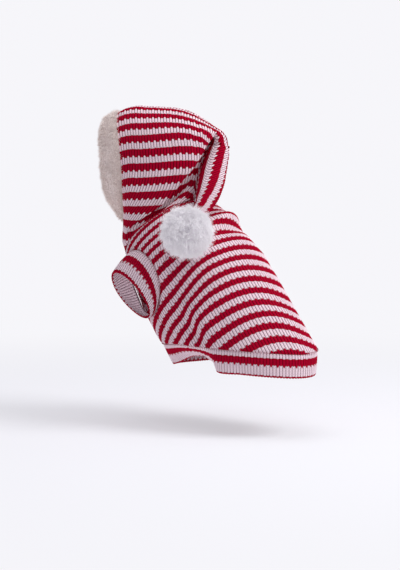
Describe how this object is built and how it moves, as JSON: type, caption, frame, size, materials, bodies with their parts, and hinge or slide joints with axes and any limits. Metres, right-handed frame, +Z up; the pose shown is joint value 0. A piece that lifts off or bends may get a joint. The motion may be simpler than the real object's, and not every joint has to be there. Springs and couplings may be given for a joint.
{
  "type": "striped hooded knit dog sweater with stocking-cap tail and pompom",
  "caption": "Striped knit dog sweater with a fleece-edged hood that ends in a folded stocking-cap tail with a fur pompom, and short folded bands at armholes and hem.",
  "frame": {"origin": "middle of the neck seam, where the wearer's neck carries the sweater", "axes": "+Z up, -Y the way the wearer's chest faces, +X the wearer's left side"},
  "size_m": [0.1732, 0.292, 0.2945],
  "materials": {
    "back_panel": "ribbed knit in red and pale stripes",
    "front_panel": "ribbed knit in red and pale stripes",
    "left_sleeve_band": "folded knit band in red and pale stripes",
    "right_sleeve_band": "folded knit band in red and pale stripes",
    "back_hem_band": "folded knit band in red and pale stripes",
    "belly_hem_band": "folded knit band in red and pale stripes",
    "hood_left": "ribbed knit in red and pale stripes",
    "hood_right": "ribbed knit in red and pale stripes",
    "hood_trim": "cream fleece pile",
    "pompom": "long white fur"
  },
  "bodies": {
    "root": {"back_panel": "back_panel", "front_panel": "front_panel", "left_sleeve_band": "left_sleeve_band", "right_sleeve_band": "right_sleeve_band", "back_hem_band": "back_hem_band", "belly_hem_band": "belly_hem_band", "hood_left": "hood_left", "hood_right": "hood_right", "hood_trim": "hood_trim", "pompom": "pompom"}
  },
  "joints": []
}
